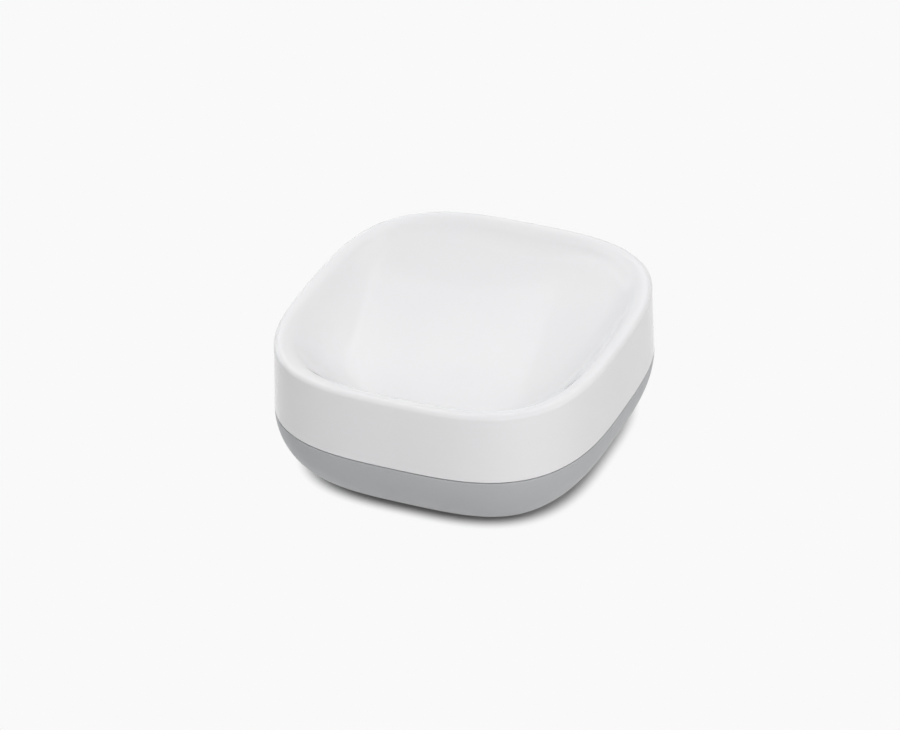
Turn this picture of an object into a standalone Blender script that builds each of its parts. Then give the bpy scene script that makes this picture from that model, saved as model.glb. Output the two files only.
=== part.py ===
"""Two-part soap dish: a white drained tray lifts off a grey water base that stands on four pads."""
import math

import bmesh
import bpy
from mathutils import Vector

# Driving sizes of the whole dish, in metres
WIDTH = 0.106             # widest outline across X, at the seam
DEPTH = 0.115             # widest outline along Y, at the seam
BAND_HEIGHT = 0.0230      # white band, from the seam to the crest of the lip
BASE_HEIGHT = 0.0216      # grey base, from its underside to the seam
FOOT_STANDOFF = 0.0016    # how far the pads hold the base off the table
CORNER_POWER = 3.1        # power of the rounded square outline, where 2 is an ellipse

# Clearances
SEAT_GAP = 0.0003         # between the tray's skirt and the ledge it rests on
SLIP_GAP = 0.0003         # between the skirt and the spigot that centres it
PAD_GAP = 0.0003          # between a pad and the recess it sits in
CUT_OVERRUN = 0.002       # how far every cutter runs past what it cuts

# Tray, outside and lip
TRAY_WALL = 0.0024        # skirt thickness at the seam
TRAY_DRAFT = 0.00068      # how far the band is drawn in by the time it reaches the lip
SEAM_CHAMFER = 0.0003     # broken edges on both sides of the seam
LIP_ROUND = 0.0014        # radius of the lip's outer edge
LIP_FLAT = 0.0003         # level crest between the outer edge and the inner roll
LIP_ROLL = 0.0053         # radius of the lip's inner roll

# Tray, bowl: a dished floor that runs down from the back rim to a steep front wall
FRONT_DEPTH = 0.0205      # floor below the crest, where it would meet the crest's front
BACK_DEPTH = 0.0018       # floor below the crest, where it would meet the crest's back
FLOOR_SAG = 0.0041        # how far the floor hangs below a straight line from front to back
FLOOR_DISHING = 0.0068    # how far the floor rises from its middle line to the crest's sides
LEAST_DEPTH = 0.0006      # keeps the floor under the crest in the back corners
WALL_ANGLE = 50           # steepest slope of the bowl's walls, in degrees
WALL_BLEND = 0.0105       # fall over which a wall runs into a very deep floor
BOWL_WALL = 0.0020        # thickness of the bowl's shell
GROOVE_WIDTH = 0.0010     # narrowest hollow between the skirt and the bowl's shell

# Drain slot, at the low front end of the floor
DRAIN_LENGTH = 0.032
DRAIN_WIDTH = 0.0055
DRAIN_SETBACK = 0.0224    # from the crest's front to the slot's middle

# Base
BASE_ARC_WIDTH = 0.0255   # how far the wall's quarter arc would run in
BASE_ARC_SHARE = 0.92     # share of that arc's height at which the flat underside cuts it
BASE_FLOOR = 0.0022
SPIGOT_HEIGHT = 0.0030
SPIGOT_WALL = 0.0015
SPIGOT_CHAMFER = 0.0004

# Pads under the base
FOOT_RADIUS = 0.0065
FOOT_EDGE = 0.0004        # rounded lower edge of a pad
FOOT_LAND = 0.0006        # underside left between a pad's recess and the rising wall
RECESS_SHARE = 0.36       # of the base's floor that a pad is let into

# Faceting, in counts
OUTLINE_POINTS = 80
CORNER_CROWDING = 0.35    # draws the outline's points towards its corners
LIP_STEPS = 4
ROLL_STEPS = 4
WALL_STEPS = 8
FLOOR_STEPS = 4
BASE_STEPS = 9
SLOT_STEPS = 8
FOOT_POINTS = 40
FOOT_STEPS = 3
PROBE_SHARE = 0.01        # of the bowl wall's thickness, used to read the bowl's slope
SHARP_ANGLE = 30          # edges that bend more than this are shaded sharp, in degrees

# Places worked out from the sizes above
SEAM_HEIGHT = FOOT_STANDOFF + BASE_HEIGHT
CREST_INSET = TRAY_DRAFT + LIP_ROUND
CREST_HALF = WIDTH / 2 - CREST_INSET
CREST_FRONT = DEPTH / 2 - CREST_INSET
STEEPNESS = math.radians(WALL_ANGLE)
ROLL_END = LIP_FLAT + LIP_ROLL * math.sin(STEEPNESS)
ROLL_FALL = LIP_ROLL * (1 - math.cos(STEEPNESS))
DEEPEST_BLEND = WALL_BLEND * FRONT_DEPTH / (WALL_BLEND + FRONT_DEPTH)
WALL_END = ROLL_END + (FRONT_DEPTH + DEEPEST_BLEND - ROLL_FALL) / math.tan(STEEPNESS)
DRAIN_PLACE = DRAIN_SETBACK - CREST_FRONT
SPIGOT_INSET = TRAY_WALL + SLIP_GAP
RESERVOIR_INSET = SPIGOT_INSET + SPIGOT_WALL
UNDERSIDE_INSET = BASE_ARC_WIDTH * (1 - math.sqrt(1 - BASE_ARC_SHARE ** 2))
RECESS_DEPTH = BASE_FLOOR * RECESS_SHARE
RECESS_RADIUS = FOOT_RADIUS + PAD_GAP


def clear_scene():
    for item in list(bpy.data.objects):
        bpy.data.objects.remove(item, do_unlink=True)


def plastic(name, colour, roughness):
    material = bpy.data.materials.new(name)
    material.use_nodes = True
    shader = material.node_tree.nodes["Principled BSDF"]
    shader.inputs["Base Color"].default_value = (*colour, 1)
    shader.inputs["Roughness"].default_value = roughness
    shader.inputs["Metallic"].default_value = 0
    return material


def outline_turns():
    """Angles round the outline, closer together at its corners."""
    steps = [2 * math.pi * step / OUTLINE_POINTS for step in range(OUTLINE_POINTS)]
    return [step + CORNER_CROWDING * math.sin(4 * step) / 4 for step in steps]


def outline_point(turn, inset, height):
    """Point of the widest outline at an angle, moved in along its normal and up."""
    half = Vector((WIDTH / 2, DEPTH / 2))
    ray = Vector((math.cos(turn), math.sin(turn)))
    stretch = abs(ray.x / half.x) ** CORNER_POWER + abs(ray.y / half.y) ** CORNER_POWER
    point = ray * stretch ** (-1 / CORNER_POWER)
    lean_x = math.copysign(abs(point.x / half.x) ** (CORNER_POWER - 1), ray.x) / half.x
    lean_y = math.copysign(abs(point.y / half.y) ** (CORNER_POWER - 1), ray.y) / half.y
    point -= Vector((lean_x, lean_y)).normalized() * inset
    return Vector((point.x, point.y, height))


def outline_ring(inset, height):
    return [outline_point(turn, inset, height) for turn in outline_turns()]


def rings_to_object(name, rings, origin, material=None):
    """Closed solid from rings of points: neighbours are bridged, both ends are capped."""
    mesh = bpy.data.meshes.new(name)
    shape = bmesh.new()
    rows = [[shape.verts.new(point - origin) for point in ring] for ring in rings]
    for row, following in zip(rows, rows[1:]):
        for here, _ in enumerate(row):
            after = (here + 1) % len(row)
            shape.faces.new((row[here], row[after], following[after], following[here]))
    shape.faces.new(rows[0])
    shape.faces.new(rows[-1])
    bmesh.ops.recalc_face_normals(shape, faces=shape.faces)
    shape.to_mesh(mesh)
    shape.free()
    if material:
        mesh.materials.append(material)
    mesh.shade_smooth()
    mesh.set_sharp_from_angle(angle=math.radians(SHARP_ANGLE))
    item = bpy.data.objects.new(name, mesh)
    item.location = origin
    bpy.context.collection.objects.link(item)
    return item


def add_cut(item, cutter):
    """Cut a hidden cutter out of a piece."""
    cutter.hide_render = True
    cutter.display_type = "WIRE"
    cutter.parent = item
    cutter.matrix_parent_inverse = item.matrix_basis.inverted()
    cut = item.modifiers.new(cutter.name, "BOOLEAN")
    cut.operation = "DIFFERENCE"
    cut.solver = "EXACT"
    cut.object = cutter


def wall_fall(distance):
    """Fall below the crest at a distance in from it: level lip, roll, straight wall."""
    if distance < LIP_FLAT:
        return 0
    if distance < ROLL_END:
        return LIP_ROLL - math.sqrt(LIP_ROLL ** 2 - (distance - LIP_FLAT) ** 2)
    return ROLL_FALL + (distance - ROLL_END) * math.tan(STEEPNESS)


def floor_depth(x, y):
    """Depth of the floor below the crest: it falls to the front and is dished both ways."""
    back = (y / CREST_FRONT + 1) / 2
    incline = FRONT_DEPTH + (BACK_DEPTH - FRONT_DEPTH) * back
    dish = FLOOR_SAG * (1 - (y / CREST_FRONT) ** 2) - FLOOR_DISHING * (x / CREST_HALF) ** 2
    depth = incline + dish
    return (depth + math.sqrt(depth ** 2 + 4 * LEAST_DEPTH ** 2)) / 2


def bowl_point(turn, distance):
    """Point of the bowl's upper face, a distance in from the crest."""
    point = outline_point(turn, CREST_INSET, 0) * (1 - distance / CREST_HALF)
    fall = wall_fall(distance)
    depth = floor_depth(point.x, point.y)
    blend = WALL_BLEND * depth / (WALL_BLEND + depth)
    overlap = max(blend - abs(fall - depth), 0)
    drop = min(fall, depth) - overlap ** 2 / (4 * blend)
    point.z = SEAM_HEIGHT + BAND_HEIGHT - drop
    return point


def bowl_normal(turn, distance):
    """Upward normal of the bowl's upper face, read from points close by."""
    probe = PROBE_SHARE * BOWL_WALL
    inward = bowl_point(turn, distance + probe) - bowl_point(turn, distance - probe)
    probe_turn = probe / CREST_HALF
    onward = bowl_point(turn + probe_turn, distance) - bowl_point(turn - probe_turn, distance)
    return onward.cross(inward).normalized()


def bowl_ring(distance):
    return [bowl_point(turn, distance) for turn in outline_turns()]


def shell_ring(distance):
    """The bowl's lower face, one wall's thickness behind its upper face."""
    ring = []
    for turn in outline_turns():
        ring.append(bowl_point(turn, distance) - bowl_normal(turn, distance) * BOWL_WALL)
    return ring


def bowl_distances(first):
    """Distances in from the crest at which the bowl has a ring, from the first one on."""
    stops = []
    for step in range(1, ROLL_STEPS + 1):
        stops.append(LIP_FLAT + LIP_ROLL * math.sin(STEEPNESS * step / ROLL_STEPS))
    for step in range(1, WALL_STEPS + 1):
        stops.append(ROLL_END + (WALL_END - ROLL_END) * step / WALL_STEPS)
    for step in range(1, FLOOR_STEPS):
        stops.append(WALL_END + (CREST_HALF - WALL_END) * step / FLOOR_STEPS)
    return [first] + [stop for stop in stops if stop > first]


def tray_band_rings():
    """Skirt and lip, from the foot of the inner face round the outside to the crest."""
    low = SEAM_HEIGHT + SEAT_GAP
    shoulder = SEAM_HEIGHT + BAND_HEIGHT - LIP_ROUND
    rings = [
        outline_ring(TRAY_WALL, low + SEAM_CHAMFER),
        outline_ring(TRAY_WALL - SEAM_CHAMFER, low),
        outline_ring(SEAM_CHAMFER, low),
        outline_ring(0, low + SEAM_CHAMFER),
    ]
    for step in range(LIP_STEPS + 1):
        lean = math.pi / 2 * step / LIP_STEPS
        inset = TRAY_DRAFT + LIP_ROUND * (1 - math.cos(lean))
        rings.append(outline_ring(inset, shoulder + LIP_ROUND * math.sin(lean)))
    return rings


def tray_shell_rings():
    """Lower face of the bowl and the hollow behind the skirt, from the middle outwards."""
    clear = TRAY_WALL + GROOVE_WIDTH + BOWL_WALL - CREST_INSET
    rings = [shell_ring(distance) for distance in bowl_distances(clear)]
    groove_top = []
    for turn, point in zip(outline_turns(), rings[0]):
        groove_top.append(outline_point(turn, TRAY_WALL, point.z))
    return list(reversed(rings)) + [groove_top]


def drain_cutter():
    """Upright slot with round ends, through the bowl's floor."""
    end_radius = DRAIN_WIDTH / 2
    half_run = DRAIN_LENGTH / 2 - end_radius
    outline = []
    for side in (1, -1):
        for step in range(SLOT_STEPS + 1):
            lean = side * math.pi / 2 * (1 - 2 * step / SLOT_STEPS)
            across = side * (half_run + end_radius * math.cos(lean))
            outline.append((across, end_radius * math.sin(lean)))
    top = SEAM_HEIGHT + BAND_HEIGHT + CUT_OVERRUN
    bottom = SEAM_HEIGHT + BAND_HEIGHT - FRONT_DEPTH - BOWL_WALL - CUT_OVERRUN
    rings = []
    for height in (bottom, top):
        rings.append([Vector((x, DRAIN_PLACE + y, height)) for x, y in outline])
    return rings_to_object("drain_cutter", rings, Vector((0, DRAIN_PLACE, bottom)))


def make_tray(material):
    rings = tray_shell_rings() + tray_band_rings()
    rings += [bowl_ring(distance) for distance in bowl_distances(LIP_FLAT)]
    tray = rings_to_object("tray", rings, Vector((0, 0, SEAM_HEIGHT)), material)
    add_cut(tray, drain_cutter())
    return tray


def base_wall_rings(arc_width, arc_height, top_inset):
    """Rings down a quarter arc that starts upright at the seam and is cut by the underside."""
    rings = []
    for step in range(BASE_STEPS + 1):
        lean = math.asin(BASE_ARC_SHARE) * step / BASE_STEPS
        inset = top_inset + arc_width * (1 - math.cos(lean))
        rings.append(outline_ring(inset, SEAM_HEIGHT - arc_height * math.sin(lean)))
    return rings


def spigot_rings():
    """Ledge for the tray, then the upstanding spigot inside the tray's skirt."""
    top = SEAM_HEIGHT + SPIGOT_HEIGHT
    return [
        outline_ring(SEAM_CHAMFER, SEAM_HEIGHT),
        outline_ring(SPIGOT_INSET, SEAM_HEIGHT),
        outline_ring(SPIGOT_INSET, top - SPIGOT_CHAMFER),
        outline_ring(SPIGOT_INSET + SPIGOT_CHAMFER, top),
        outline_ring(RESERVOIR_INSET - SPIGOT_CHAMFER, top),
        outline_ring(RESERVOIR_INSET, top - SPIGOT_CHAMFER),
    ]


def foot_places():
    """Name ending and centre of each pad, tucked into the corners of the flat underside."""
    corner = math.atan2(DEPTH, WIDTH)
    inset = UNDERSIDE_INSET + FOOT_LAND + RECESS_RADIUS
    place = outline_point(corner, inset, 0)
    places = []
    for end, toward_y in (("front", -1), ("back", 1)):
        for side, toward_x in (("left", -1), ("right", 1)):
            centre = Vector((toward_x * place.x, toward_y * place.y, 0))
            places.append((f"{end}_{side}", centre))
    return places


def disc_ring(centre, radius, height):
    ring = []
    for step in range(FOOT_POINTS):
        turn = 2 * math.pi * step / FOOT_POINTS
        ring.append(centre + Vector((radius * math.cos(turn), radius * math.sin(turn), height)))
    return ring


def recess_cutter(ending, centre):
    rings = []
    for height in (FOOT_STANDOFF - CUT_OVERRUN, FOOT_STANDOFF + RECESS_DEPTH):
        rings.append(disc_ring(centre, RECESS_RADIUS, height))
    return rings_to_object(f"recess_cutter_{ending}", rings, centre)


def make_base(material):
    outer_height = BASE_HEIGHT / BASE_ARC_SHARE
    inner_height = (BASE_HEIGHT - BASE_FLOOR) / BASE_ARC_SHARE
    outer = base_wall_rings(BASE_ARC_WIDTH, outer_height, 0)
    outer[0] = outline_ring(0, SEAM_HEIGHT - SEAM_CHAMFER)
    inner_width = BASE_ARC_WIDTH - RESERVOIR_INSET
    inner = base_wall_rings(inner_width, inner_height, RESERVOIR_INSET)
    rings = list(reversed(outer)) + spigot_rings() + inner
    base = rings_to_object("base", rings, Vector((0, 0, FOOT_STANDOFF)), material)
    for ending, centre in foot_places():
        add_cut(base, recess_cutter(ending, centre))
    return base


def make_foot(ending, centre, material):
    """Round pad, let into the underside, with a rounded lower edge."""
    rings = []
    for step in range(FOOT_STEPS + 1):
        lean = math.pi / 2 * step / FOOT_STEPS
        radius = FOOT_RADIUS - FOOT_EDGE * (1 - math.sin(lean))
        rings.append(disc_ring(centre, radius, FOOT_EDGE * (1 - math.cos(lean))))
    rings.append(disc_ring(centre, FOOT_RADIUS, FOOT_STANDOFF + RECESS_DEPTH - PAD_GAP))
    return rings_to_object(f"foot_{ending}", rings, centre, material)


def make_dish():
    clear_scene()
    white = plastic("white_gloss_plastic", (0.82, 0.82, 0.83), 0.18)
    grey = plastic("grey_satin_plastic", (0.36, 0.38, 0.38), 0.45)
    black = plastic("black_rubber", (0.03, 0.03, 0.03), 0.8)
    tray = make_tray(white)
    lift = bpy.data.objects.new("tray_lift_axis", None)
    lift.location = (0, 0, SEAM_HEIGHT)
    bpy.context.collection.objects.link(lift)
    tray.parent = lift
    tray.location = (0, 0, 0)
    base = make_base(grey)
    lift.parent = base
    lift.matrix_parent_inverse = base.matrix_basis.inverted()
    for ending, centre in foot_places():
        foot = make_foot(ending, centre, black)
        foot.parent = base
        foot.matrix_parent_inverse = base.matrix_basis.inverted()


make_dish()
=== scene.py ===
"""Looks of the two-part soap dish: fine mouldings, plastics, rubber and a pale studio."""
import math

import bmesh
import bpy
import numpy as np
from mathutils import Matrix, Quaternion, Vector


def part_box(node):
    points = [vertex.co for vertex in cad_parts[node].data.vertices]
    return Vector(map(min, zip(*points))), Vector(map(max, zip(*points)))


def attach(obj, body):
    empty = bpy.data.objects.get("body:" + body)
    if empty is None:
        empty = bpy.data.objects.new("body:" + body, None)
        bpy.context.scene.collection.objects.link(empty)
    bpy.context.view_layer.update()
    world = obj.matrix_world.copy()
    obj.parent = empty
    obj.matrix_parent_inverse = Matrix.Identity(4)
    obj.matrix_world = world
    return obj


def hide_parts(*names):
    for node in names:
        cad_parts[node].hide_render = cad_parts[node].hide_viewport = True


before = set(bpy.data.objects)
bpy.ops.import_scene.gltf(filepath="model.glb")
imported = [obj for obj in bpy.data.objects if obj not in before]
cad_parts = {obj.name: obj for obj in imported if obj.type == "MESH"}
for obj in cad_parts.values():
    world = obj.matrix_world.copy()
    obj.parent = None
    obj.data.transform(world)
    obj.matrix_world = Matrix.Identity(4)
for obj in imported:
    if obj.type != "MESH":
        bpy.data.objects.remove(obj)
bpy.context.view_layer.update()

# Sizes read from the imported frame, in metres
TRAY_LOW, TRAY_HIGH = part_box("tray")
BASE_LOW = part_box("base")[0]
FOOT_LOW, FOOT_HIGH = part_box("foot_front_left")
WIDTH = TRAY_HIGH.x - TRAY_LOW.x
DEPTH = TRAY_HIGH.y - TRAY_LOW.y
FOOT_STANDOFF = BASE_LOW.z
FOOT_RADIUS = (FOOT_HIGH.x - FOOT_LOW.x) / 2
FOOT_TOP = FOOT_HIGH.z

# Sizes of the mouldings, as the frame has them, in metres and degrees
CORNER_POWER = 3.1        # power of the rounded square outline, where 2 is an ellipse
SEAT_GAP = 0.0003         # between the tray's skirt and the ledge it rests on
SLIP_GAP = 0.0003         # between the skirt and the spigot that centres it
PAD_GAP = 0.0003          # between a pad and the recess it sits in
TRAY_WALL = 0.0024        # skirt thickness at the seam
TRAY_DRAFT = 0.00068      # how far the band is drawn in by the time it reaches the lip
LIP_ROUND = 0.0014        # radius of the lip's outer edge
LIP_FLAT = 0.0003         # level crest between the outer edge and the inner roll
LIP_ROLL = 0.0053         # radius of the lip's inner roll
FRONT_DEPTH = 0.0205      # floor below the crest, where it would meet the crest's front
BACK_DEPTH = 0.0018       # floor below the crest, where it would meet the crest's back
FLOOR_SAG = 0.0041        # how far the floor hangs below a straight line from front to back
FLOOR_DISHING = 0.0068    # how far the floor rises from its middle line to the crest's sides
LEAST_DEPTH = 0.0006      # keeps the floor under the crest in the back corners
WALL_ANGLE = 50           # steepest slope of the bowl's walls, in degrees
WALL_BLEND = 0.0105       # fall over which a wall runs into a very deep floor
BOWL_WALL = 0.0020        # thickness of the bowl's shell
GROOVE_WIDTH = 0.0010     # narrowest hollow between the skirt and the bowl's shell
DRAIN_LENGTH = 0.032
DRAIN_WIDTH = 0.0055
DRAIN_SETBACK = 0.0224    # from the crest's front to the slot's middle
BASE_ARC_WIDTH = 0.0255   # how far the wall's quarter arc would run in
BASE_ARC_SHARE = 0.92     # share of that arc's height at which the flat underside cuts it
BASE_FLOOR = 0.0022
SPIGOT_HEIGHT = 0.0030
SPIGOT_WALL = 0.0015

# Edges, finer here than in the frame, which has some of them broken or sharp
SEAM_ROUND = 0.0003
SPIGOT_ROUND = 0.0004
DRAIN_ROUND = 0.0005
RECESS_ROUND = 0.0002
FOOT_EDGE = 0.0004
HOLD_EDGE = 0.00025       # strip beside a rounding that keeps the larger face's shading flat
SHARP_ANGLE = 40          # edges that bend more than this are shaded sharp, in degrees

# Fineness: counts, unless a comment says otherwise
OUTLINE_POINTS = 560
CORNER_CROWDING = 0.55    # draws the outline's points towards its corners
ROUND_STEPS = 8           # lip's outer edge, and a pad's lower edge
EDGE_STEPS = 4            # other roundings
WALL_STEPS = 8            # skirt's wall
ROLL_STEPS = 26           # lip's inner roll
SLOPE_STEPS = 10          # from the roll to where the rings start to close on the slot
BOWL_STEPS = 72           # from there to the slot
RINGS_END = 0.0105        # metres in from the crest, where they start to close on it
UNDERSIDE_SKIP = 3        # the hidden face beneath the bowl has one ring in this many
BASE_STEPS = 40           # base's wall, outside and inside
RIM_SHARES = (0.96, 0.99)  # rings just within the edge of the base's underside, as shares of it
MIDDLE_SHARES = (0.97, 0.9, 0.8, 0.65, 0.5, 0.35, 0.2, 0.08)  # rings that close a flat face
FOOT_POINTS = 96
TABLE_POINTS = 2880       # of the crest's outline, to look its radius up
PROBE = 0.00002           # step in metres, used to read the bowl's slope

# Places worked out from the sizes above
TRAY_FOOT = TRAY_LOW.z
SEAM_HEIGHT = TRAY_FOOT - SEAT_GAP
CREST_HEIGHT = TRAY_HIGH.z
CREST_INSET = TRAY_DRAFT + LIP_ROUND
CREST_HALF = WIDTH / 2 - CREST_INSET
CREST_FRONT = DEPTH / 2 - CREST_INSET
STEEPNESS = math.radians(WALL_ANGLE)
ROLL_END = LIP_FLAT + LIP_ROLL * math.sin(STEEPNESS)
ROLL_FALL = LIP_ROLL * (1 - math.cos(STEEPNESS))
DRAIN_PLACE = DRAIN_SETBACK - CREST_FRONT
SPIGOT_INSET = TRAY_WALL + SLIP_GAP
RESERVOIR_INSET = SPIGOT_INSET + SPIGOT_WALL
BASE_HEIGHT = SEAM_HEIGHT - FOOT_STANDOFF

# Materials: a pattern is a size in metres and a detail, and a relief adds its height in metres
PLASTIC_IOR = 1.49
PATTERN_RANGE = (0.3, 0.7)  # part of a noise's values over which a pattern runs
WHITE_TONES = ((0.815, 0.815, 0.825), (0.83, 0.828, 0.83))
WHITE_DRIFT = (0.03, 2)
WHITE_ROUGHNESS = (0.01, 0.025)
WHITE_MARKS = (0.008, 4)
WHITE_WAVE = (0.012, 1, 0.000006)
WHITE_GRAIN = (0.0009, 2, 0.0000003)
GREY_TONES = ((0.443, 0.455, 0.465), (0.463, 0.474, 0.482))
GREY_DRIFT = (0.02, 3)
GREY_ROUGHNESS = (0.38, 0.48)
GREY_MARKS = (0.004, 4)
GREY_GRAIN = (0.00022, 3, 0.000012)
RUBBER_TONES = ((0.022, 0.022, 0.022), (0.045, 0.045, 0.044))
RUBBER_DUST = (0.002, 5)
RUBBER_ROUGHNESS = (0.7, 0.9)
RUBBER_MARKS = (0.001, 4)
RUBBER_GRAIN = (0.0004, 4, 0.00002)

# Camera, from the photograph's vanishing lines and the dish's outline, in metres and degrees
CAMERA_AIM = Vector((-0.0045, -0.0020, 0.0264))
CAMERA_DISTANCE = 1.3119
CAMERA_AZIMUTH = 23.70
CAMERA_ELEVATION = 32.44
CAMERA_ROLL = -1.53
CAMERA_LENS = 169.8       # millimetres, as the sensor
SENSOR_WIDTH = 36

# Studio
BACKGROUND = 0.947        # level of the plain pale background
AMBIENT = 0.02            # strength of the even light all round
FLOOR_SIZE = 12.0
FLOOR_COLOUR = 0.74       # colour with which the floor lights the dish
FLOOR_PAINTED_SHADE = 0.48        # colour with which the camera sees the floor, darker than the colour it lights the dish with: painted shade near the dish

# Within an outline like the dish's the floor shows its lamp shading, darkened by that painted
# shade, and fades to plain background
FLOOR_SHADE_START = 0.805  # share of the outline up to which the painted shade and the lamp shading show
FLOOR_SHADE_END = 0.915    # share from which on the background shows
FLOOR_SHADE_SHIFT = (-0.0013, 0.0043)  # the painted shadow's middle on the floor, moved left and back, away from the key lamp
FLOOR_SHADE_STRETCH = (1.015, 1.005)   # the painted shadow's width and depth over the dish's

# Lamps: azimuth 0 is in front of the dish and 90 to its right, in metres and degrees
KEY_TINT = (1.0, 0.984, 0.988)   # a trace warm
FILL_TINT = (0.982, 0.988, 1.0)  # a trace cool
PANELS = (
    # they light the dish and show in no gloss: name, azimuth, elevation, distance,
    # width, height, radiance, tint
    ("key_panel", 45, 36, 3.0, 2.0, 2.2, 4.7, KEY_TINT),
    ("left_panel", 270, 14, 3.0, 2.0, 1.4, 2.7, FILL_TINT),
    ("back_left_panel", 225, 26, 3.0, 2.0, 2.8, 2.3, FILL_TINT),
    ("back_panel", 180, 26, 3.0, 2.0, 2.8, 1.1, FILL_TINT),
    ("top_panel", 0, 90, 3.0, 2.2, 2.2, 2.08, FILL_TINT),
)
WINDOWS = (
    # they only show in the dish's gloss: name, azimuth, level distance, middle's height,
    # width, height, side it faces from, lean, radiance
    ("back_window", 196.5, 3.13, 3.9, 3.08, 3.7, 180, -15.5, 0.52),
    ("high_window", 158, 3.0, 4.6, 1.8, 2.4, 158, 0, 0.5),
    ("right_window", 125, 3.0, 2.4, 1.3, 3.0, 125, 0, 0.35),
    ("left_window", 250, 3.0, 3.0, 1.4, 5.0, 250, 0, 0.7),
)


# Outline and meshes

def outline_turns():
    """Angles round the outline, closer together at its corners."""
    steps = [2 * math.pi * step / OUTLINE_POINTS for step in range(OUTLINE_POINTS)]
    return [step + CORNER_CROWDING * math.sin(4 * step) / 4 for step in steps]


TURNS = outline_turns()


def outline_point(turn, inset, height):
    """Point of the widest outline at an angle, moved in along its normal and up."""
    half = (WIDTH / 2, DEPTH / 2)
    ray = Vector((math.cos(turn), math.sin(turn)))
    stretch = abs(ray.x / half[0]) ** CORNER_POWER + abs(ray.y / half[1]) ** CORNER_POWER
    point = ray * stretch ** (-1 / CORNER_POWER)
    lean_x = math.copysign(abs(point.x / half[0]) ** (CORNER_POWER - 1), ray.x) / half[0]
    lean_y = math.copysign(abs(point.y / half[1]) ** (CORNER_POWER - 1), ray.y) / half[1]
    point -= Vector((lean_x, lean_y)).normalized() * inset
    return Vector((point.x, point.y, height))


def outline_ring(inset, height):
    """Level ring of points, an inset within the widest outline."""
    return [outline_point(turn, inset, height) for turn in TURNS]


def quarter(steps):
    """Angles from nought to a right angle, in even steps."""
    return [math.pi / 2 * step / steps for step in range(steps + 1)]


def rounded_rings(steps, start, inset, height, radius):
    """Rings round a quarter circle in section, about a centre at an inset and a height.

    They run clockwise from a start angle in degrees: 0 points to the middle of the dish, 90 up.
    """
    rings = []
    for lean in quarter(steps):
        turn = math.radians(start) - lean
        run, rise = radius * math.cos(turn), radius * math.sin(turn)
        rings.append(outline_ring(inset + run, height + rise))
    return rings


def rings_to_object(name, rings, closed=False):
    """Mesh from rings of points: neighbours are bridged, and the ends are capped or joined."""
    mesh = bpy.data.meshes.new(name)
    shape = bmesh.new()
    rows = [[shape.verts.new(point) for point in ring] for ring in rings]
    pairs = list(zip(rows, rows[1:]))
    if closed:
        pairs.append((rows[-1], rows[0]))
    for row, following in pairs:
        for here, _ in enumerate(row):
            after = (here + 1) % len(row)
            shape.faces.new((row[here], row[after], following[after], following[here]))
    if not closed:
        shape.faces.new(rows[0])
        shape.faces.new(rows[-1])
    bmesh.ops.recalc_face_normals(shape, faces=shape.faces)
    shape.to_mesh(mesh)
    shape.free()
    mesh.shade_smooth()
    item = bpy.data.objects.new(name, mesh)
    bpy.context.scene.collection.objects.link(item)
    return item


def finish_shading(item):
    """Sharp corners stay sharp, and large faces keep flat shading beside their roundings."""
    item.data.set_sharp_from_angle(angle=math.radians(SHARP_ANGLE))
    weigh = item.modifiers.new("weighted_normals", "WEIGHTED_NORMAL")
    weigh.mode = "FACE_AREA"
    weigh.keep_sharp = True


# The bowl's upper face as a height over every place inside the crest

def crest_table():
    """Polar angle and radius of the crest's outline."""
    turns = np.linspace(-math.pi, math.pi, TABLE_POINTS + 1)
    points = np.array([outline_point(turn, CREST_INSET, 0)[:2] for turn in turns])
    angles = np.unwrap(np.arctan2(points[:, 1], points[:, 0]))
    return angles, np.hypot(points[:, 0], points[:, 1])


CREST_ANGLES, CREST_RADII = crest_table()
CREST_RING = np.array(outline_ring(CREST_INSET, 0))


def wall_fall(distance):
    """Fall below the crest at distances in from it: level lip, roll, straight wall."""
    run = np.clip(distance - LIP_FLAT, 0, LIP_ROLL)
    roll = LIP_ROLL - np.sqrt(LIP_ROLL ** 2 - run ** 2)
    slope = ROLL_FALL + (distance - ROLL_END) * math.tan(STEEPNESS)
    return np.where(distance < ROLL_END, roll, slope)


def floor_depth(x, y):
    """Depth of the floor below the crest: it falls to the front and is dished both ways."""
    back = (y / CREST_FRONT + 1) / 2
    incline = FRONT_DEPTH + (BACK_DEPTH - FRONT_DEPTH) * back
    dish = FLOOR_SAG * (1 - (y / CREST_FRONT) ** 2) - FLOOR_DISHING * (x / CREST_HALF) ** 2
    depth = incline + dish
    return (depth + np.sqrt(depth ** 2 + 4 * LEAST_DEPTH ** 2)) / 2


def bowl_drop(distance, x, y):
    """Fall below the crest, where the walls ease into the floor."""
    fall = wall_fall(distance)
    depth = floor_depth(x, y)
    blend = WALL_BLEND * depth / (WALL_BLEND + depth)
    overlap = np.maximum(blend - np.abs(fall - depth), 0)
    return np.minimum(fall, depth) - overlap ** 2 / (4 * blend)


def bowl_height(x, y):
    """Height of the bowl's upper face over places inside the crest."""
    radius = np.interp(np.arctan2(y, x), CREST_ANGLES, CREST_RADII)
    distance = (1 - np.hypot(x, y) / radius) * CREST_HALF
    return CREST_HEIGHT - bowl_drop(distance, x, y)


def bowl_normals(places):
    """Upward normals of the bowl's upper face at an array of places."""
    x, y = places[:, 0], places[:, 1]
    lean_x = (bowl_height(x + PROBE, y) - bowl_height(x - PROBE, y)) / (2 * PROBE)
    lean_y = (bowl_height(x, y + PROBE) - bowl_height(x, y - PROBE)) / (2 * PROBE)
    normals = np.stack([-lean_x, -lean_y, np.ones(len(x))], axis=1)
    return normals / np.linalg.norm(normals, axis=1, keepdims=True)


def bowl_ring(distance):
    """Ring of the upper face, a distance in from the crest."""
    ring = CREST_RING * (1 - distance / CREST_HALF)
    ring[:, 2] = CREST_HEIGHT - bowl_drop(distance, ring[:, 0], ring[:, 1])
    return ring


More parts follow.
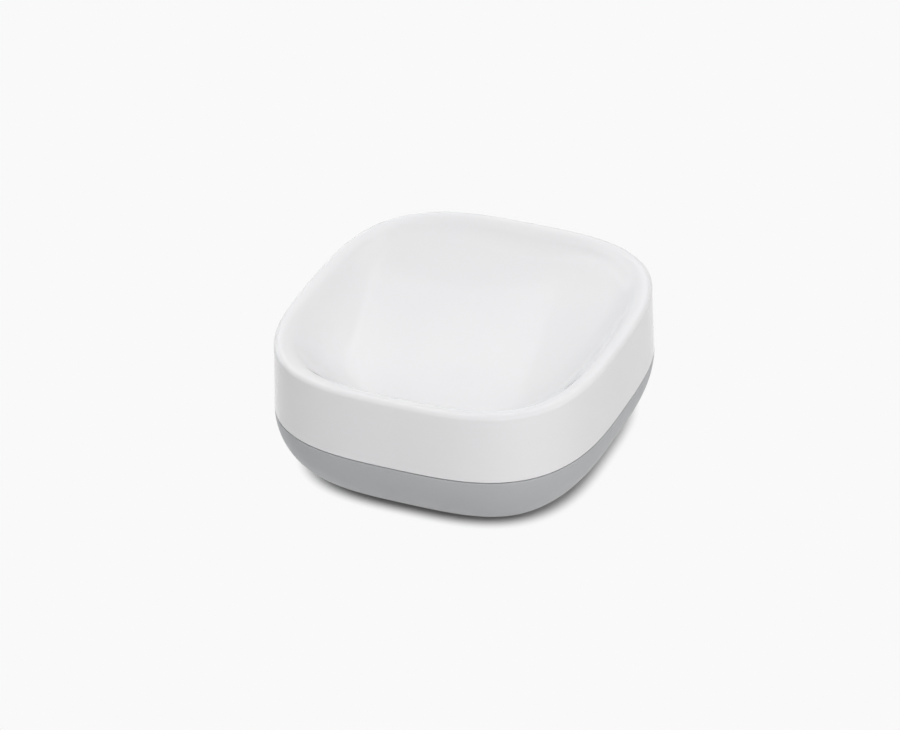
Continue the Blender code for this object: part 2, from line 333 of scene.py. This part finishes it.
def on_bowl(places):
    """Ring of the upper face over level places."""
    return np.column_stack([places, bowl_height(places[:, 0], places[:, 1])])


def under(ring):
    """Ring of the face beneath the bowl, one wall's thickness behind a ring of the upper face."""
    return ring - bowl_normals(ring) * BOWL_WALL


# Tray

def slot_outline(grown):
    """The drain slot's outline, grown outwards: its sides face the outline's sides."""
    reach = DRAIN_WIDTH / 2 + grown
    half_run = (DRAIN_LENGTH - DRAIN_WIDTH) / 2
    corner = math.atan2(DEPTH, WIDTH)
    points = []
    for turn in TURNS:
        turn = (turn + corner) % (2 * math.pi) - corner
        if turn < corner:
            lean = math.pi / 2 * turn / corner
            point = (half_run + reach * math.cos(lean), reach * math.sin(lean))
        elif turn < math.pi - corner:
            share = (turn - corner) / (math.pi - 2 * corner)
            point = (half_run * (1 - 2 * share), reach)
        elif turn < math.pi + corner:
            lean = math.pi / 2 * (turn - math.pi) / corner
            point = (-half_run - reach * math.cos(lean), -reach * math.sin(lean))
        else:
            share = (turn - math.pi - corner) / (math.pi - 2 * corner)
            point = (half_run * (2 * share - 1), -reach)
        points.append((point[0], DRAIN_PLACE + point[1]))
    return np.array(points)


def slot_edges():
    """Rings of the slot's rounded upper and lower edges, from the bowl's faces into the slot."""
    upper, lower = [], []
    for lean in quarter(EDGE_STEPS):
        ring = on_bowl(slot_outline(DRAIN_ROUND * (1 - math.sin(lean))))
        sunk = DRAIN_ROUND * (1 - math.cos(lean))
        normals = bowl_normals(ring)
        upper.append(ring - normals * sunk)
        lower.append(ring - normals * (BOWL_WALL - sunk))
    return upper, lower


def bowl_faces(groove_end):
    """Rings of the upper face from the crest into the slot, and of the face beneath it.

    The face beneath starts where the groove behind the skirt ends, a distance in from the crest.
    """
    upper = [bowl_ring(LIP_FLAT / 2)]
    for step in range(ROLL_STEPS + 1):
        upper.append(bowl_ring(LIP_FLAT + LIP_ROLL * math.sin(STEEPNESS * step / ROLL_STEPS)))
    for step in range(1, SLOPE_STEPS + 1):
        upper.append(bowl_ring(ROLL_END + (RINGS_END - ROLL_END) * step / SLOPE_STEPS))
    wide = upper[-1][:, :2]
    narrow = slot_outline(DRAIN_ROUND + HOLD_EDGE)
    for step in range(1, BOWL_STEPS + 1):
        share = step / BOWL_STEPS
        upper.append(on_bowl(wide + (narrow - wide) * share))
    inner = [ring for ring in upper[1::UNDERSIDE_SKIP] if CREST_HALF - ring[0][0] > groove_end]
    lower = [under(ring) for ring in inner]
    edge_up, edge_down = slot_edges()
    return upper + edge_up, lower + edge_down


def skirt_rings():
    """Rings round the skirt: inner and outer lower edge, drafted wall, and lip up to the crest."""
    foot = TRAY_FOOT + SEAM_ROUND
    shoulder = CREST_HEIGHT - LIP_ROUND
    rings = rounded_rings(EDGE_STEPS, 0, TRAY_WALL - SEAM_ROUND, foot, SEAM_ROUND)
    rings += rounded_rings(EDGE_STEPS, -90, SEAM_ROUND, foot, SEAM_ROUND)
    for step in range(1, WALL_STEPS):
        share = step / WALL_STEPS
        rings.append(outline_ring(TRAY_DRAFT * share, foot + (shoulder - foot) * share))
    return rings + rounded_rings(ROUND_STEPS, 180, CREST_INSET, shoulder, LIP_ROUND)


def make_tray():
    """Hollow tray: bowl, face beneath it, groove behind the skirt, skirt and lip."""
    groove_end = TRAY_WALL + GROOVE_WIDTH + BOWL_WALL - CREST_INSET
    upper, lower = bowl_faces(groove_end)
    first = under(bowl_ring(groove_end))
    groove = [outline_point(turn, TRAY_WALL, point[2]) for turn, point in zip(TURNS, first)]
    rings = upper + list(reversed(lower)) + [first, groove] + skirt_rings()
    tray = rings_to_object("tray_moulding", rings, closed=True)
    finish_shading(tray)
    return tray


# Base and pads

def arc_rings(arc_width, arc_height, top_inset):
    """Rings down a quarter arc that starts upright at the seam and is cut by the underside."""
    rings = []
    for step in range(1, BASE_STEPS + 1):
        lean = math.asin(BASE_ARC_SHARE) * step / BASE_STEPS
        inset = top_inset + arc_width * (1 - math.cos(lean))
        rings.append(outline_ring(inset, SEAM_HEIGHT - arc_height * math.sin(lean)))
    return rings


def shrunk(ring, shares):
    """Copies of a level ring, drawn in towards its middle."""
    middle = sum(ring, Vector()) / len(ring)
    return [[middle + (point - middle) * share for point in ring] for share in shares]


def disc_ring(centre, radius, height):
    """Level circle of points about a foot's middle."""
    ring = []
    for step in range(FOOT_POINTS):
        turn = 2 * math.pi * step / FOOT_POINTS
        x = centre.x + radius * math.cos(turn)
        y = centre.y + radius * math.sin(turn)
        ring.append(Vector((x, y, height)))
    return ring


def cut_recess(base, centre):
    """Shallow recess for a pad, with a broken edge, cut into the flat underside."""
    radius = FOOT_RADIUS + PAD_GAP
    top = FOOT_TOP + PAD_GAP
    rings = [
        disc_ring(centre, radius + RECESS_ROUND + FOOT_STANDOFF / 2, FOOT_STANDOFF / 2),
        disc_ring(centre, radius + RECESS_ROUND, FOOT_STANDOFF),
        disc_ring(centre, radius, FOOT_STANDOFF + RECESS_ROUND),
        disc_ring(centre, radius, top),
    ]
    cutter = rings_to_object("recess_cutter", rings)
    cut = base.modifiers.new("recess", "BOOLEAN")
    cut.operation = "DIFFERENCE"
    cut.solver = "EXACT"
    cut.object = cutter
    bpy.context.view_layer.update()
    ready = base.evaluated_get(bpy.context.evaluated_depsgraph_get())
    base.data = bpy.data.meshes.new_from_object(ready)
    base.modifiers.clear()
    bpy.data.objects.remove(cutter)


def make_base(centres):
    """Base: underside, curved wall, ledge for the skirt, spigot, and the reservoir within."""
    outer = arc_rings(BASE_ARC_WIDTH, BASE_HEIGHT / BASE_ARC_SHARE, 0)
    inner_height = (BASE_HEIGHT - BASE_FLOOR) / BASE_ARC_SHARE
    inner = arc_rings(BASE_ARC_WIDTH - RESERVOIR_INSET, inner_height, RESERVOIR_INSET)
    ledge = rounded_rings(EDGE_STEPS, 180, SEAM_ROUND, SEAM_HEIGHT - SEAM_ROUND, SEAM_ROUND)
    ledge.append(outline_ring(SPIGOT_INSET, SEAM_HEIGHT))
    middle = SEAM_HEIGHT + SPIGOT_HEIGHT - SPIGOT_ROUND
    outside, inside = SPIGOT_INSET + SPIGOT_ROUND, RESERVOIR_INSET - SPIGOT_ROUND
    spigot = rounded_rings(EDGE_STEPS, 180, outside, middle, SPIGOT_ROUND)
    spigot += rounded_rings(EDGE_STEPS, 90, inside, middle, SPIGOT_ROUND)
    rings = shrunk(outer[-1], RIM_SHARES) + list(reversed(outer)) + ledge + spigot + inner
    rings += shrunk(inner[-1], MIDDLE_SHARES)
    base = rings_to_object("base_moulding", rings)
    for centre in centres.values():
        cut_recess(base, centre)
    finish_shading(base)
    return base


def make_pad(name, centre):
    """Round rubber pad with a rounded lower edge."""
    flat = FOOT_RADIUS - FOOT_EDGE
    rings = [disc_ring(centre, flat * share, 0) for share in reversed(MIDDLE_SHARES)]
    for lean in quarter(ROUND_STEPS):
        radius = FOOT_RADIUS - FOOT_EDGE * (1 - math.sin(lean))
        rings.append(disc_ring(centre, radius, FOOT_EDGE * (1 - math.cos(lean))))
    rings.append(disc_ring(centre, FOOT_RADIUS, FOOT_TOP - HOLD_EDGE))
    rings.append(disc_ring(centre, FOOT_RADIUS, FOOT_TOP))
    rings.append(disc_ring(centre, FOOT_RADIUS - HOLD_EDGE, FOOT_TOP))
    pad = rings_to_object(name, rings)
    finish_shading(pad)
    return pad


# Materials

def new_material(name):
    """Material with its node tree and its shader."""
    material = bpy.data.materials.new(name)
    material.use_nodes = True
    tree = material.node_tree
    return material, tree, tree.nodes["Principled BSDF"]


def noise(tree, size, detail):
    """Cloudy pattern with features of about a given size, in metres, fixed to the piece."""
    place = tree.nodes.new("ShaderNodeTexCoord")
    cloud = tree.nodes.new("ShaderNodeTexNoise")
    cloud.inputs["Scale"].default_value = 1 / size
    cloud.inputs["Detail"].default_value = detail
    tree.links.new(place.outputs["Object"], cloud.inputs["Vector"])
    return cloud.outputs["Fac"]


def spread(tree, source, low, high):
    """Value that runs from low to high with a pattern."""
    scale = tree.nodes.new("ShaderNodeMapRange")
    scale.inputs["From Min"].default_value = PATTERN_RANGE[0]
    scale.inputs["From Max"].default_value = PATTERN_RANGE[1]
    scale.inputs["To Min"].default_value = low
    scale.inputs["To Max"].default_value = high
    tree.links.new(source, scale.inputs["Value"])
    return scale.outputs["Result"]


def blend_colours(tree, source, first, second):
    """Colour that runs from the first to the second with a pattern."""
    mix = tree.nodes.new("ShaderNodeMix")
    mix.data_type = "RGBA"
    mix.inputs["A"].default_value = (*first, 1)
    mix.inputs["B"].default_value = (*second, 1)
    tree.links.new(spread(tree, source, 0, 1), mix.inputs["Factor"])
    return mix.outputs["Result"]


def bump(tree, source, height, below=None):
    """Relief of a given height in metres, over another relief if there is one."""
    relief = tree.nodes.new("ShaderNodeBump")
    relief.inputs["Strength"].default_value = 1
    relief.inputs["Distance"].default_value = height
    tree.links.new(source, relief.inputs["Height"])
    if below:
        tree.links.new(below, relief.inputs["Normal"])
    return relief.outputs["Normal"]


def patterned_material(name, tones, drift, roughness, marks, *reliefs):
    """Material with a drift of colour, marks in its roughness, and reliefs over each other."""
    material, tree, shader = new_material(name)
    colour = blend_colours(tree, noise(tree, *drift), *tones)
    tree.links.new(colour, shader.inputs["Base Color"])
    tree.links.new(spread(tree, noise(tree, *marks), *roughness), shader.inputs["Roughness"])
    normal = None
    for size, detail, height in reliefs:
        normal = bump(tree, noise(tree, size, detail), height, normal)
    tree.links.new(normal, shader.inputs["Normal"])
    return material, shader


def white_plastic():
    """Glossy white moulding: a trace of warm and cool drift, handling marks, faint waviness."""
    material, shader = patterned_material(
        "white_gloss_plastic", WHITE_TONES, WHITE_DRIFT, WHITE_ROUGHNESS, WHITE_MARKS,
        WHITE_WAVE, WHITE_GRAIN,
    )
    shader.inputs["IOR"].default_value = PLASTIC_IOR
    return material


def grey_plastic():
    """Satin grey moulding with a fine spark-eroded grain."""
    material, shader = patterned_material(
        "grey_satin_plastic", GREY_TONES, GREY_DRIFT, GREY_ROUGHNESS, GREY_MARKS, GREY_GRAIN,
    )
    shader.inputs["IOR"].default_value = PLASTIC_IOR
    return material


def pad_rubber():
    """Matt black rubber, slightly dusty."""
    material, _ = patterned_material(
        "black_rubber", RUBBER_TONES, RUBBER_DUST, RUBBER_ROUGHNESS, RUBBER_MARKS, RUBBER_GRAIN,
    )
    return material


# Studio

def facing(azimuth, elevation):
    """Direction from the dish towards a place in the studio; azimuth 0 is in front."""
    turn, lift = math.radians(azimuth), math.radians(elevation)
    level = math.cos(lift)
    return Vector((math.sin(turn) * level, -math.cos(turn) * level, math.sin(lift)))


def calculate(tree, operation, *values):
    """Result of an operation on sockets and plain numbers."""
    node = tree.nodes.new("ShaderNodeMath")
    node.operation = operation
    for socket, value in zip(node.inputs, values):
        if isinstance(value, bpy.types.NodeSocket):
            tree.links.new(value, socket)
        else:
            socket.default_value = value
    return node.outputs[0]


def show_mix(tree, share, first, second, output):
    """Surface that shows the first shader at a share of nought and the second at one."""
    mix = tree.nodes.new("ShaderNodeMixShader")
    tree.links.new(share, mix.inputs["Fac"])
    tree.links.new(first.outputs[0], mix.inputs[1])
    tree.links.new(second.outputs[0], mix.inputs[2])
    tree.links.new(mix.outputs[0], tree.nodes[output].inputs["Surface"])


def background_ray(tree):
    """One for rays that should see the plain pale background: camera, gloss and glass."""
    path = tree.nodes.new("ShaderNodeLightPath")
    seen = calculate(tree, "MAXIMUM", path.outputs["Is Camera Ray"], path.outputs["Is Glossy Ray"])
    return calculate(tree, "MAXIMUM", seen, path.outputs["Is Transmission Ray"])


def make_world():
    """Faint even light all round, and the plain background where it shows."""
    world = bpy.data.worlds.new("studio")
    bpy.context.scene.world = world
    world.use_nodes = True
    tree = world.node_tree
    ambient = tree.nodes["Background"]
    ambient.inputs["Color"].default_value = (1, 1, 1, 1)
    ambient.inputs["Strength"].default_value = AMBIENT
    shown = tree.nodes.new("ShaderNodeBackground")
    shown.inputs["Color"].default_value = (BACKGROUND, BACKGROUND, BACKGROUND, 1)
    show_mix(tree, background_ray(tree), ambient, shown, "World Output")


def add_lamp(name, width, height, radiance, tint, place, turn, in_gloss):
    """Rectangular lamp that either lights the dish or only shows in its gloss."""
    data = bpy.data.lights.new(name, "AREA")
    data.shape = "RECTANGLE"
    data.size = width
    data.size_y = height
    data.energy = radiance * math.pi * width * height
    data.color = tint
    lamp = bpy.data.objects.new(name, data)
    lamp.matrix_world = Matrix.Translation(place) @ turn.to_matrix().to_4x4()
    lamp.visible_glossy = in_gloss
    lamp.visible_diffuse = not in_gloss
    lamp.visible_camera = False
    bpy.context.scene.collection.objects.link(lamp)


def add_panel(name, azimuth, elevation, distance, width, height, radiance, tint):
    """Soft light that faces the dish."""
    towards = facing(azimuth, elevation)
    turn = towards.to_track_quat("Z", "Y")
    add_lamp(name, width, height, radiance, tint, towards * distance, turn, False)


def add_window(name, azimuth, distance, middle, width, height, side, lean, radiance):
    """Upright pane that shows in the dish's gloss, turned in its own plane by its lean."""
    place = facing(azimuth, 0) * distance + Vector((0, 0, middle))
    turn = facing(side, 0).to_track_quat("Z", "Y") @ Quaternion((0, 0, 1), math.radians(lean))
    add_lamp(name, width, height, radiance, FILL_TINT, place, turn, True)


def outline_share(tree):
    """How far out a place on the floor lies, as a share of the way to the painted shadow's
    outline.
    """
    place = tree.nodes.new("ShaderNodeTexCoord")
    shifted = tree.nodes.new("ShaderNodeMapping")
    shift_x, shift_y = FLOOR_SHADE_SHIFT
    shifted.inputs["Location"].default_value = (-shift_x, -shift_y, 0)
    tree.links.new(place.outputs["Object"], shifted.inputs["Vector"])
    parts = tree.nodes.new("ShaderNodeSeparateXYZ")
    tree.links.new(shifted.outputs["Vector"], parts.inputs[0])
    stretch_x, stretch_y = FLOOR_SHADE_STRETCH
    terms = []
    for axis, half_size in (("X", stretch_x * WIDTH / 2), ("Y", stretch_y * DEPTH / 2)):
        distance = calculate(tree, "ABSOLUTE", parts.outputs[axis])
        ratio = calculate(tree, "DIVIDE", distance, half_size)
        terms.append(calculate(tree, "POWER", ratio, CORNER_POWER))
    return calculate(tree, "POWER", calculate(tree, "ADD", *terms), 1 / CORNER_POWER)


def floor_material():
    """Matt floor: the camera sees its lamp shading darkened into a painted shadow near the dish,
    and plain background farther out.
    """
    material, tree, shader = new_material("pale_floor")
    path = tree.nodes.new("ShaderNodeLightPath")
    # The camera sees a darker floor colour than the one the floor lights the dish with: painted
    # shade
    colour = tree.nodes.new("ShaderNodeMapRange")
    colour.inputs["To Min"].default_value = FLOOR_COLOUR
    colour.inputs["To Max"].default_value = FLOOR_PAINTED_SHADE
    tree.links.new(path.outputs["Is Camera Ray"], colour.inputs["Value"])
    tree.links.new(colour.outputs["Result"], shader.inputs["Base Color"])
    shader.inputs["Roughness"].default_value = 1
    shader.inputs["Specular IOR Level"].default_value = 0
    glow = tree.nodes.new("ShaderNodeEmission")
    glow.inputs["Color"].default_value = (BACKGROUND, BACKGROUND, BACKGROUND, 1)
    # Painted shadow: the darkened shading shows within an outline like the dish's and fades to the
    # background
    fade = tree.nodes.new("ShaderNodeMapRange")
    fade.interpolation_type = "SMOOTHSTEP"
    fade.inputs["From Min"].default_value = FLOOR_SHADE_START
    fade.inputs["From Max"].default_value = FLOOR_SHADE_END
    tree.links.new(outline_share(tree), fade.inputs["Value"])
    shown = calculate(tree, "MULTIPLY", fade.outputs["Result"], background_ray(tree))
    show_mix(tree, shown, shader, glow, "Material Output")
    return material


def make_floor():
    """Wide level floor that the dish stands on."""
    mesh = bpy.data.meshes.new("floor")
    half = FLOOR_SIZE / 2
    corners = [(-half, -half, 0), (half, -half, 0), (half, half, 0), (-half, half, 0)]
    mesh.from_pydata(corners, [], [(0, 1, 2, 3)])
    floor = bpy.data.objects.new("floor", mesh)
    bpy.context.scene.collection.objects.link(floor)
    mesh.materials.append(floor_material())


def make_camera():
    """Camera at the photograph's viewing angle."""
    back = facing(CAMERA_AZIMUTH, CAMERA_ELEVATION)
    turn = math.radians(CAMERA_AZIMUTH)
    level = Vector((math.cos(turn), math.sin(turn), 0))
    axes = Matrix((level, back.cross(level), back)).transposed()
    pose = (axes @ Matrix.Rotation(math.radians(CAMERA_ROLL), 3, "Z")).to_4x4()
    data = bpy.data.cameras.new("camera")
    data.sensor_width = SENSOR_WIDTH
    data.lens = CAMERA_LENS
    camera = bpy.data.objects.new("camera", data)
    camera.matrix_world = Matrix.Translation(CAMERA_AIM + back * CAMERA_DISTANCE) @ pose
    bpy.context.scene.collection.objects.link(camera)
    bpy.context.scene.camera = camera


# The whole scene

def dress(piece, material, node, body):
    """Gives a piece its material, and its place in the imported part."""
    piece.data.materials.clear()
    piece.data.materials.append(material)
    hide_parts(node)
    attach(piece, body)


def foot_centres():
    """Middle of each foot in the frame, by its node's name."""
    centres = {}
    for node in sorted(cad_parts):
        if node.startswith("foot_"):
            low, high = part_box(node)
            centres[node] = (low + high) / 2
    return centres


def build():
    """Camera, lamps and floor first, then the six pieces of the dish."""
    bpy.context.scene.view_settings.view_transform = "Standard"
    make_camera()
    make_world()
    for panel in PANELS:
        add_panel(*panel)
    for window in WINDOWS:
        add_window(*window)
    make_floor()
    white, grey, black = white_plastic(), grey_plastic(), pad_rubber()
    centres = foot_centres()
    dress(make_tray(), white, "tray", "tray")
    dress(make_base(centres), grey, "base", "base")
    for node, centre in centres.items():
        pad = make_pad(node.replace("foot", "pad"), centre)
        dress(pad, black, node, "base")


build()
